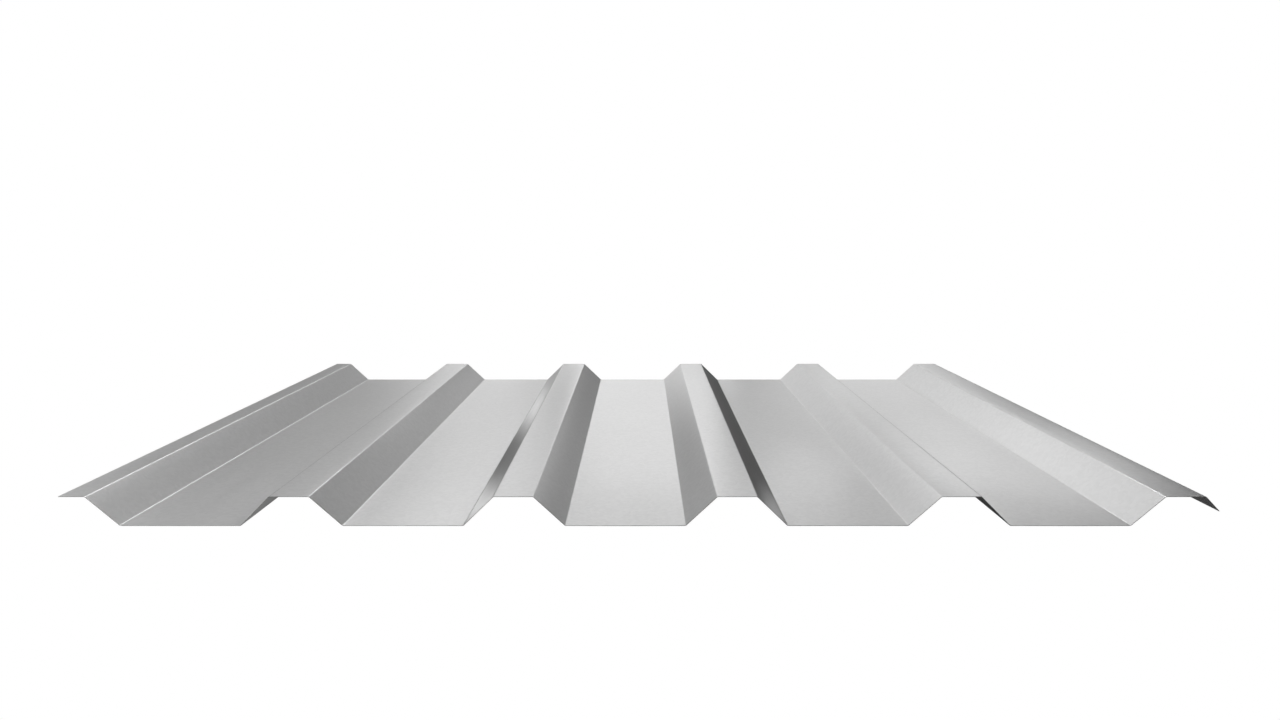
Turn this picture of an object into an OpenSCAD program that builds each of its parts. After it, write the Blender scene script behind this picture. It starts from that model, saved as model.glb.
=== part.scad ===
// Trapezoidal profiled sheet: one strip of thin metal, cold rolled into five pans and five ribs.
// Millimetres. X runs across the ribs, Y along them and Z up. The pans rest on Z = 0, and the
// origin is at the bottom centre of the sheet.

/* [Sheet] */
// Length along the ribs
sheet_len = 600; // [300:10:6000]
// Number of pans, which is also the number of full ribs
pans = 5; // [2:1:8]
// Thickness of the metal
metal_t = 0.5; // [0.4:0.05:1.2]

/* [Profile] */
// Distance from one rib to the next
pitch = 200; // [150:1:300]
// Width of the flat crown of a rib
crown_w = 35.5; // [20:0.5:60]
// Width that one sloping web takes up across the sheet
web_run = 28; // [16:0.5:40]
// Rise from the pans to the crowns
depth = 27.5; // [15:0.5:45]
// Radius on the inside of each bend
bend_r = 2; // [0.5:0.25:4]

/* [Side laps] */
// Width of the flange that goes under the next sheet, at crown height
underlap_w = 23.5; // [10:0.5:35]
// Width across of the short web that covers the next sheet's underlap
overlap_w = 14; // [6:0.5:20]

/* [Hidden] */

// Flat steps in each bend
bend_steps = 6;
// What is left of a pitch beside its crown and its two webs
pan_w = pitch - crown_w - 2 * web_run;
// Slope of the webs
web_angle = atan2(depth, web_run);
// Radius of each bend at the middle of the metal
mid_r = bend_r + metal_t / 2;
// Heights of the middle of the metal in the pans and in the crowns
pan_z = metal_t / 2;
crown_z = pan_z + depth;
// Width from the underlap's edge to the outer corner of the overlap's cut edge
overall_w = underlap_w + pans * pitch + overlap_w + metal_t / 2 * sin(web_angle);
left_x = -overall_w / 2;

// Direction square to a line that runs at angle a, on its left
function normal(a) = [-sin(a), cos(a)];

// Angle of the line from point p to point q
function heading(p, q) = atan2(q[1] - p[1], q[0] - p[0]);

// Fold points of one pan and the rib on its right, for a pan that starts at x
function pan_and_rib(x) = [
    [x, pan_z],
    [x + pan_w, pan_z],
    [x + pan_w + web_run, crown_z],
    [x + pan_w + web_run + crown_w, crown_z],
];

// Middle line of the metal: its two edges, and between them the points where it folds
first_pan_x = left_x + underlap_w + web_run;
last_fold_x = left_x + underlap_w + pans * pitch;
overlap_tip = [last_fold_x + overlap_w, crown_z - overlap_w * tan(web_angle)];
middle = concat(
    [[left_x, crown_z], [left_x + underlap_w, crown_z]],
    [for (n = [0:pans - 1]) each pan_and_rib(first_pan_x + n * pitch)],
    [overlap_tip]
);

// Arc that rounds fold i on the face that lies s to the left of the middle line. Its centre is
// mid_r from both lines that meet there, on the inside of the fold.
function bend(i, s) =
    let (
        a = heading(middle[i - 1], middle[i]),
        turn = heading(middle[i], middle[i + 1]) - a,
        inner_r = sign(turn) * mid_r,
        mitre = (normal(a) + normal(a + turn)) / (1 + cos(turn)),
        centre = middle[i] + inner_r * mitre
    )
    [for (k = [0:bend_steps]) centre - (inner_r - s) * normal(a + turn * k / bend_steps)];

// One face of the sheet from edge to edge, s to the left of the middle line
function face(s) =
    let (last = len(middle) - 1)
    concat(
        [middle[0] + s * normal(heading(middle[0], middle[1]))],
        [for (i = [1:last - 1]) each bend(i, s)],
        [middle[last] + s * normal(heading(middle[last - 1], middle[last]))]
    );

function reversed(points) = [for (i = [len(points) - 1:-1:0]) points[i]];

module profiled_sheet() {
    color("gainsboro")
        rotate([90, 0, 0])
            linear_extrude(height = sheet_len, center = true)
                polygon(concat(face(metal_t / 2), reversed(face(-metal_t / 2))));
}

profiled_sheet();
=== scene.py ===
"""Looks of a trapezoidal profiled sheet: coated steel strip, cold rolled into pans and ribs.

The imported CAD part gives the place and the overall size. The sheet is drawn again as one smooth
surface, because the CAD mesh has flat steps in its bends. Everything is in metres.
"""

import bpy
import numpy as np
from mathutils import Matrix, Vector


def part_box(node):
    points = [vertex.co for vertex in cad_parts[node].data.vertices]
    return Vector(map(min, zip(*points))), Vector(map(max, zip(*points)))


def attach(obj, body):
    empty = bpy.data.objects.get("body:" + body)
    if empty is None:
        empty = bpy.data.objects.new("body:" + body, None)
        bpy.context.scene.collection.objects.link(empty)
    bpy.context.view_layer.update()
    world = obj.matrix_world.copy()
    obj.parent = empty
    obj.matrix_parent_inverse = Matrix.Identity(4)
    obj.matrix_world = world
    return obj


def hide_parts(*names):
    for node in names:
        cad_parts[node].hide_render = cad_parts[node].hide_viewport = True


MM = 0.001

# The profile's driving sizes, as in the part's source.
PANS = 5
PITCH = 200 * MM
CROWN_W = 35.5 * MM
WEB_RUN = 28 * MM
METAL_T = 0.5 * MM
BEND_R = 2 * MM
UNDERLAP_W = 23.5 * MM
OVERLAP_W = 14 * MM

# How finely the surface is drawn.
BEND_STEPS = 8
FLAT_STEP = 12 * MM
ROW_STEP = 10 * MM

# Oil canning: the slack of a rolled flat. OIL_CAN is its height in the middle of a flat, over the
# square of the flat's width, so a 110 mm pan bellies 0.15 mm and a web or crown hardly at all.
# LONG_SHARE is the long wave's part of it, and GOLDEN_ANGLE is in radians.
OIL_CAN = 0.15 * MM / (110 * MM) ** 2
LONG_WAVE = 270 * MM
SHORT_WAVE = 150 * MM
LONG_SHARE = 0.6
GOLDEN_ANGLE = 2.4

# The coating: spangle cells, the lines that the rolls leave, and patches of the resin film, each
# with its size across the strip and its run along it. Real spangle is 1 to 2 mm and roll lines
# are under 1 mm apart. Both are drawn coarser so that they show.
SPANGLE = 3 * MM
ROLL_LINE = 2.5 * MM
ROLL_LINE_RUN = 180 * MM
LINE_DEPTH = 0.002 * MM
FILM_PATCH = 40 * MM
FILM_PATCH_RUN = 500 * MM

# How many finer layers of noise the lines and the patches have.
NOISE_DETAIL = 2

COAT_DARK = "#f4f4f4"
COAT_LIGHT = "#f9f9f9"
CUT_STEEL = "#a8a7a5"
WHITE = "#ffffff"

# The metal's own roughness, and how far the lines and the patches move it.
SATIN = 0.5
LINE_ROUGHNESS = 0.06
PATCH_ROUGHNESS = 0.12

# The clear resin film over the metal: how much of it there is, and its roughness.
FILM_COVER = 1.0
FILM_ROUGHNESS = 0.12

# The camera: lens and sensor in millimetres, its place in front of the sheet's front edge and
# over its lowest point, how many degrees it looks down, and how far it sees in metres.
LENS = 20.15
SENSOR_W = 36
CAMERA_BACK = 603.4 * MM
CAMERA_UP = 269.9 * MM
CAMERA_DOWN = 11.06
CAMERA_REACH = 100

# The floor: half its side in metres, and how far under the sheet it lies.
FLOOR_HALF = 30
FLOOR_GAP = 0.2 * MM

# Soft boxes: azimuth from +Y towards +X, elevation, half width, half height and blur in degrees,
# and level. The one at the horizon ahead stays under the white of the floor, because the flats
# mirror it when they are seen at a shallow angle.
SOFT_BOXES = [
    # The main light: a tall box high ahead.
    (5, 57, 12, 20, 2, 3.1),
    # A wide dim wall along the left, with a brighter panel at its front end.
    (-105, 25, 60, 45, 4, 0.8),
    (-48, 38, 12, 10, 2, 1.2),
    # Boxes ahead on the left, for the pans and crowns on that side and the webs that face left.
    (-19, 29, 6, 5, 7, 2.3),
    (-13, 16, 5, 8, 4, 0.6),
    (-8, 2, 6, 8, 4, 0.9),
    # A box straight ahead, for the middle pan.
    (1, 16, 6, 6, 2, 1.0),
    # Boxes ahead on the right, for the pans and crowns on that side.
    (14, 20, 3, 2, 2, 0.8),
    (18, 12, 7, 3, 6, 1.2),
    (29, 18, 8, 2, 5, 2.2),
    # Small low lights that steep webs catch as a streak, and one for the underside.
    (-23, -13, 1, 4, 2, 1.6),
    (-15, -8, 2, 1, 2, 1.5),
    (23, -12, 1, 3, 2, 1.1),
    (-24, -32, 7, 7, 4, 0.3),
    # Dim walls behind and on the right, and a dimmer one under them.
    (150, 40, 40, 40, 15, 0.6),
    (95, 35, 25, 25, 10, 0.3),
    (180, -45, 110, 35, 8, 0.15),
]


def folds(low, high):
    """Middle line of the metal across the sheet: its two edges and the points where it folds.

    The box's corners give the left edge and the two heights. Each pitch adds four folds: the
    two ends of a pan and the two ends of the crown on its right.
    """
    pan_z = low[2] + METAL_T / 2
    crown_z = high[2] - METAL_T / 2
    slope = (crown_z - pan_z) / WEB_RUN
    pan_w = PITCH - CROWN_W - 2 * WEB_RUN
    flange_x = low[0] + UNDERLAP_W
    starts = flange_x + WEB_RUN + PITCH * np.arange(PANS)
    across = np.array([0, pan_w, pan_w + WEB_RUN, pan_w + WEB_RUN + CROWN_W])
    heights = np.array([pan_z, pan_z, crown_z, crown_z])
    ribs = np.stack(np.broadcast_arrays(starts[:, None] + across, heights), axis=-1)
    last_x = ribs[-1, -1, 0]
    return np.vstack([
        [[low[0], crown_z], [flange_x, crown_z]],
        ribs.reshape(-1, 2),
        [[last_x + OVERLAP_W, crown_z - OVERLAP_W * slope]],
    ])


def normals(angle):
    """Directions square to lines that run at these angles, on their left: (-sin a, cos a)."""
    return np.stack([-np.sin(angle), np.cos(angle)], axis=-1)


def profile(middle):
    """The middle line with its bends rounded: points, normals, distance along the strip, slack, flat.

    A bend's centre lies on the mitre of its two lines, one middle radius from both, and its
    points are the centre less that radius times the normal, as the heading turns evenly. The
    flats are straight runs between the bends, cut into steps of about FLAT_STEP. Slack is how
    far a flat can belly: the square of its width times the squared sine of the way across it,
    so it is nought at the bends. Flat is the number of the flat or bend, from the left.
    """
    step = np.diff(middle, axis=0)
    heading = np.arctan2(step[:, 1], step[:, 0])
    before, turn = heading[:-1, None], np.diff(heading)[:, None]
    side = np.sign(turn) * (BEND_R + METAL_T / 2)
    mitre = (normals(before[:, 0]) + normals(before[:, 0] + turn[:, 0])) / (1 + np.cos(turn))
    centre = middle[1:-1] + side * mitre
    angle = before + turn * np.linspace(0, 1, BEND_STEPS + 1)
    arcs = centre[:, None] - side[:, :, None] * normals(angle)

    points, headings, slack, flat = [], [], [], []
    starts = [middle[0], *arcs[:, -1]]
    ends = [*arcs[:, 0], middle[-1]]
    for i, (a, b) in enumerate(zip(starts, ends)):
        count = max(2, int(round(np.hypot(*(b - a)) / FLAT_STEP)))
        inner = np.linspace(0, 1, count + 1)[:, None]
        run = a + (b - a) * inner
        keep = slice(0 if i == 0 else 1, None if i == len(ends) - 1 else -1)
        points.append(run[keep])
        headings.append(np.full(len(run[keep]), heading[i]))
        slack.append(np.sum((b - a) ** 2) * np.sin(np.pi * inner[keep, 0]) ** 2)
        flat.append(np.full(len(run[keep]), i))
        if i < len(arcs):
            points.append(arcs[i])
            headings.append(angle[i])
            slack.append(np.zeros(len(arcs[i])))
            flat.append(np.full(len(arcs[i]), i))
    points, headings = np.vstack(points), np.concatenate(headings)
    along = np.concatenate([[0], np.cumsum(np.hypot(*np.diff(points, axis=0).T))])
    return points, normals(headings), along, np.concatenate(slack), np.concatenate(flat)


def belly(slack, flat, y):
    """How far each flat stands off its plane: slack times a slow wave along the ribs.

    The wave is a long sine and a shorter one over it. Each flat starts them at its own place,
    a golden angle on from the last, so that no two flats belly together.
    """
    start = flat * GOLDEN_ANGLE
    long_wave = np.sin(2 * np.pi * y[:, None] / LONG_WAVE + start)
    short_wave = np.sin(2 * np.pi * y[:, None] / SHORT_WAVE + 2 * start)
    return OIL_CAN * slack * (LONG_SHARE * long_wave + (1 - LONG_SHARE) * short_wave)


def sheet_mesh(low, high):
    """The whole sheet as a closed shell, and its flattened strip as a UV map.

    Each face of the sheet is the profile swept along Y in even rows, and moved along its normal
    by half the metal's thickness and by the flats' slight belly. The two faces are joined by a
    strip of quads round the rim.
    """
    line, normal, along, slack, flat = profile(folds(low, high))
    rows = int(round((high[1] - low[1]) / ROW_STEP)) + 1
    columns = len(line)
    count = rows * columns
    y = np.linspace(low[1], high[1], rows)
    stand_off = belly(slack, flat, y)
    shells = []
    for side in (METAL_T / 2, -METAL_T / 2):
        xz = line + (side + stand_off)[..., None] * normal
        shells.append(np.stack(np.broadcast_arrays(xz[..., 0], y[:, None], xz[..., 1]), axis=-1))
    verts = np.concatenate(shells).reshape(-1, 3)

    index = np.arange(count).reshape(rows, columns)
    top = np.stack([index[:-1, :-1], index[:-1, 1:], index[1:, 1:], index[1:, :-1]], axis=-1).reshape(-1, 4)
    bottom = top[:, ::-1] + count
    rim = np.concatenate([index[0, :-1], index[:-1, -1], index[-1, :0:-1], index[:0:-1, 0]])
    next_rim = np.roll(rim, -1)
    sides = np.stack([rim + count, next_rim + count, next_rim, rim], axis=-1)
    faces = np.vstack([top, bottom, sides])
    mesh = bpy.data.meshes.new("profiled_sheet_skin")
    mesh.from_pydata(verts.tolist(), [], faces.tolist())

    # The flattened strip: how far along the strip, and how far along the ribs.
    strip = np.stack(np.broadcast_arrays(along, (y - low[1])[:, None]), axis=-1).reshape(-1, 2)
    strip = np.vstack([strip, strip])
    corner = np.empty(len(mesh.loops), np.int32)
    mesh.loops.foreach_get("vertex_index", corner)
    uv = mesh.uv_layers.new(name="flat_strip")
    uv.data.foreach_set("uv", strip[corner].astype(np.float32).ravel())

    # The cut rim: flat faces between sharp edges, marked for their own colour.
    cut = np.zeros(len(faces), np.float32)
    cut[-len(sides):] = 1
    mesh.polygons.foreach_set("use_smooth", cut == 0)
    mesh.attributes.new("cut_rim", "FLOAT", "FACE").data.foreach_set("value", cut)
    on_rim = np.zeros(len(verts), bool)
    on_rim[sides] = True
    ends = np.empty(2 * len(mesh.edges), np.int32)
    mesh.edges.foreach_get("vertices", ends)
    mesh.edges.foreach_set("use_edge_sharp", on_rim[ends].reshape(-1, 2).all(axis=1))
    mesh.validate()
    mesh.update()
    return mesh


def linear(colour):
    """An sRGB hex colour as linear RGBA: c / 12.92 below 0.04045, else ((c + 0.055) / 1.055) ^ 2.4."""
    c = np.array([int(colour[i:i + 2], 16) / 255 for i in (1, 3, 5)])
    rgb = np.where(c <= 0.04045, c / 12.92, ((c + 0.055) / 1.055) ** 2.4)
    return (*rgb.tolist(), 1.0)


def add_node(tree, kind, links=None, **settings):
    """Adds one node. Settings are its properties, and links are its input sockets' values or sources."""
    node = tree.nodes.new(kind)
    for name, value in settings.items():
        setattr(node, name, value)
    for socket, value in (links or {}).items():
        if isinstance(value, bpy.types.NodeSocket):
            tree.links.new(value, node.inputs[socket])
        else:
            node.inputs[socket].default_value = value
    return node


def coated_steel():
    """Cold rolled steel strip, hot-dipped in zinc and aluminium, skin passed and clear passivated.

    The dip leaves a fine crystal pattern (spangle), which the skin pass presses nearly flat and
    satin, so it shows only as faint light and dark cells. The rolls leave faint lines along the
    strip, seen in the gloss and as a slight brush in the reflections. Long soft patches of more
    or less gloss come from the thickness of the clear resin film, whose own sharper reflection
    lies over the satin metal. The shears leave a greyer rim of bare steel.
    """
    material = bpy.data.materials.new("zinc_aluminium_coated_steel_skin_passed")
    material.use_nodes = True
    tree = material.node_tree
    tree.nodes.clear()

    strip = add_node(tree, "ShaderNodeUVMap", uv_map="flat_strip").outputs["UV"]
    rim = add_node(tree, "ShaderNodeAttribute", attribute_name="cut_rim").outputs["Fac"]

    spangle = add_node(tree, "ShaderNodeTexVoronoi", {
        "Vector": strip, "Scale": 1 / SPANGLE,
    }, voronoi_dimensions="2D").outputs["Color"]
    crystal = add_node(tree, "ShaderNodeSeparateColor", {"Color": spangle}).outputs["Red"]
    lengthwise = add_node(tree, "ShaderNodeMapping", {
        "Vector": strip, "Scale": (1 / ROLL_LINE, 1 / ROLL_LINE_RUN, 1),
    }).outputs["Vector"]
    lines = add_node(tree, "ShaderNodeTexNoise", {
        "Vector": lengthwise, "Scale": 1, "Detail": NOISE_DETAIL,
    }, noise_dimensions="2D").outputs["Fac"]
    stretched = add_node(tree, "ShaderNodeMapping", {
        "Vector": strip, "Scale": (1 / FILM_PATCH, 1 / FILM_PATCH_RUN, 1),
    }).outputs["Vector"]
    patches = add_node(tree, "ShaderNodeTexNoise", {
        "Vector": stretched, "Scale": 1, "Detail": NOISE_DETAIL,
    }, noise_dimensions="2D").outputs["Fac"]

    # Sockets 6 and 7 of a Mix node are its two colours, and output 2 is their mix.
    spangled = add_node(tree, "ShaderNodeMix", {
        "Factor": crystal, 6: linear(COAT_DARK), 7: linear(COAT_LIGHT),
    }, data_type="RGBA").outputs[2]
    colour = add_node(tree, "ShaderNodeMix", {
        "Factor": rim, 6: spangled, 7: linear(CUT_STEEL),
    }, data_type="RGBA").outputs[2]
    lined = add_node(tree, "ShaderNodeMath", {
        0: lines, 1: LINE_ROUGHNESS, 2: SATIN - (LINE_ROUGHNESS + PATCH_ROUGHNESS) / 2,
    }, operation="MULTIPLY_ADD").outputs[0]
    gloss = add_node(tree, "ShaderNodeMath", {
        0: patches, 1: PATCH_ROUGHNESS, 2: lined,
    }, operation="MULTIPLY_ADD").outputs[0]
    brushed = add_node(tree, "ShaderNodeBump", {
        "Strength": 1, "Distance": LINE_DEPTH, "Height": lines,
    }).outputs["Normal"]

    shader = add_node(tree, "ShaderNodeBsdfPrincipled", {
        "Base Color": colour, "Metallic": 1, "Roughness": gloss, "Normal": brushed,
        "Coat Weight": FILM_COVER, "Coat Roughness": FILM_ROUGHNESS,
    })
    add_node(tree, "ShaderNodeOutputMaterial", {"Surface": shader.outputs["BSDF"]})
    return material


def studio():
    """World: soft boxes for the light and the reflections, and a white backdrop to look at.

    A box's glow is its level times one smooth step on the azimuth and one on the elevation, each
    one inside the box and nought outside it. The glows are added up. Rays from the camera see
    the backdrop instead, so the sheet stands on plain white from every side.
    """
    world = bpy.data.worlds.new("soft_studio")
    bpy.context.scene.world = world
    world.use_nodes = True
    tree = world.node_tree
    tree.nodes.clear()
    place = add_node(tree, "ShaderNodeTexCoord").outputs["Generated"]
    way = add_node(tree, "ShaderNodeSeparateXYZ", {"Vector": place}).outputs
    azimuth = add_node(tree, "ShaderNodeMath", {0: way["X"], 1: way["Y"]}, operation="ARCTAN2").outputs[0]
    elevation = add_node(tree, "ShaderNodeMath", {0: way["Z"]}, operation="ARCSINE").outputs[0]
    level = 0.0
    for box_az, box_el, half_az, half_el, blur, strength in SOFT_BOXES:
        glow = strength
        for angle, middle, half in ((azimuth, box_az, half_az), (elevation, box_el, half_el)):
            aside = add_node(tree, "ShaderNodeMath", {
                0: angle, 1: np.radians(middle),
            }, operation="SUBTRACT").outputs[0]
            turned = add_node(tree, "ShaderNodeMath", {
                0: aside, 1: np.pi, 2: -np.pi,
            }, operation="WRAP").outputs[0]
            distance = add_node(tree, "ShaderNodeMath", {0: turned}, operation="ABSOLUTE").outputs[0]
            glow = add_node(tree, "ShaderNodeMapRange", {
                "Value": distance, "From Min": np.radians(half + blur),
                "From Max": np.radians(half - blur), "To Min": 0.0, "To Max": glow,
            }, interpolation_type="SMOOTHSTEP").outputs["Result"]
        level = add_node(tree, "ShaderNodeMath", {0: level, 1: glow}, operation="ADD").outputs[0]
    boxes = add_node(tree, "ShaderNodeBackground", {"Color": linear(WHITE), "Strength": level}).outputs[0]
    backdrop = add_node(tree, "ShaderNodeBackground", {"Color": linear(WHITE), "Strength": 1.0}).outputs[0]
    seen = add_node(tree, "ShaderNodeLightPath").outputs["Is Camera Ray"]
    both = add_node(tree, "ShaderNodeMixShader", {0: seen, 1: boxes, 2: backdrop}).outputs[0]
    add_node(tree, "ShaderNodeOutputWorld", {"Surface": both})


def camera(low):
    """Camera in front of the sheet, looking along the ribs and down on them."""
    data = bpy.data.cameras.new("camera")
    data.sensor_width = SENSOR_W
    data.lens = LENS
    data.clip_end = CAMERA_REACH
    view = bpy.data.objects.new("camera", data)
    view.location = (0, low[1] - CAMERA_BACK, low[2] + CAMERA_UP)
    view.rotation_euler = (np.radians(90 - CAMERA_DOWN), 0, 0)
    bpy.context.scene.collection.objects.link(view)
    bpy.context.scene.camera = view


def floor(low):
    """Plain white floor just under the sheet: one wide level square.

    It is as white as the backdrop from every side, so it glows evenly instead of taking light,
    and it sends none to the sheet.
    """
    z = low[2] - FLOOR_GAP
    far = FLOOR_HALF
    mesh = bpy.data.meshes.new("floor")
    mesh.from_pydata([(-far, -far, z), (far, -far, z), (far, far, z), (-far, far, z)], [], [(0, 1, 2, 3)])
    piece = bpy.data.objects.new("floor", mesh)
    bpy.context.scene.collection.objects.link(piece)
    material = bpy.data.materials.new("matt_white_floor")
    material.use_nodes = True
    tree = material.node_tree
    tree.nodes.clear()
    glow = add_node(tree, "ShaderNodeEmission", {"Color": linear(WHITE), "Strength": 1.0}).outputs[0]
    add_node(tree, "ShaderNodeOutputMaterial", {"Surface": glow})
    mesh.materials.append(material)
    piece.visible_glossy = False
    piece.visible_diffuse = False
    piece.visible_shadow = False


def sheet(low, high):
    """The sheet's one piece, in its coated steel.

    No face of it mirrors or shades another, which keeps the faces clean and even.
    """
    piece = bpy.data.objects.new("profiled_sheet_skin", sheet_mesh(low, high))
    bpy.context.scene.collection.objects.link(piece)
    piece.data.materials.append(coated_steel())
    piece.visible_glossy = False
    piece.visible_shadow = False
    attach(piece, "root")
    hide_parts("profiled_sheet")


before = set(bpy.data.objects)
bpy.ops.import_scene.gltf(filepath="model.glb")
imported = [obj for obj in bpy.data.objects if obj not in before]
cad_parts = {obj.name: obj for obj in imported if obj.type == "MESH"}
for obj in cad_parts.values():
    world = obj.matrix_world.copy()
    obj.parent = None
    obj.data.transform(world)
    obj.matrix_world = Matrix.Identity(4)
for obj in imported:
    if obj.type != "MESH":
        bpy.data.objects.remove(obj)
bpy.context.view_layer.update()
low, high = (np.array(corner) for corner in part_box("profiled_sheet"))
camera(low)
floor(low)
studio()
sheet(low, high)
# Greys stay as they are worked out, with no film curve over them.
bpy.context.scene.view_settings.view_transform = "Standard"
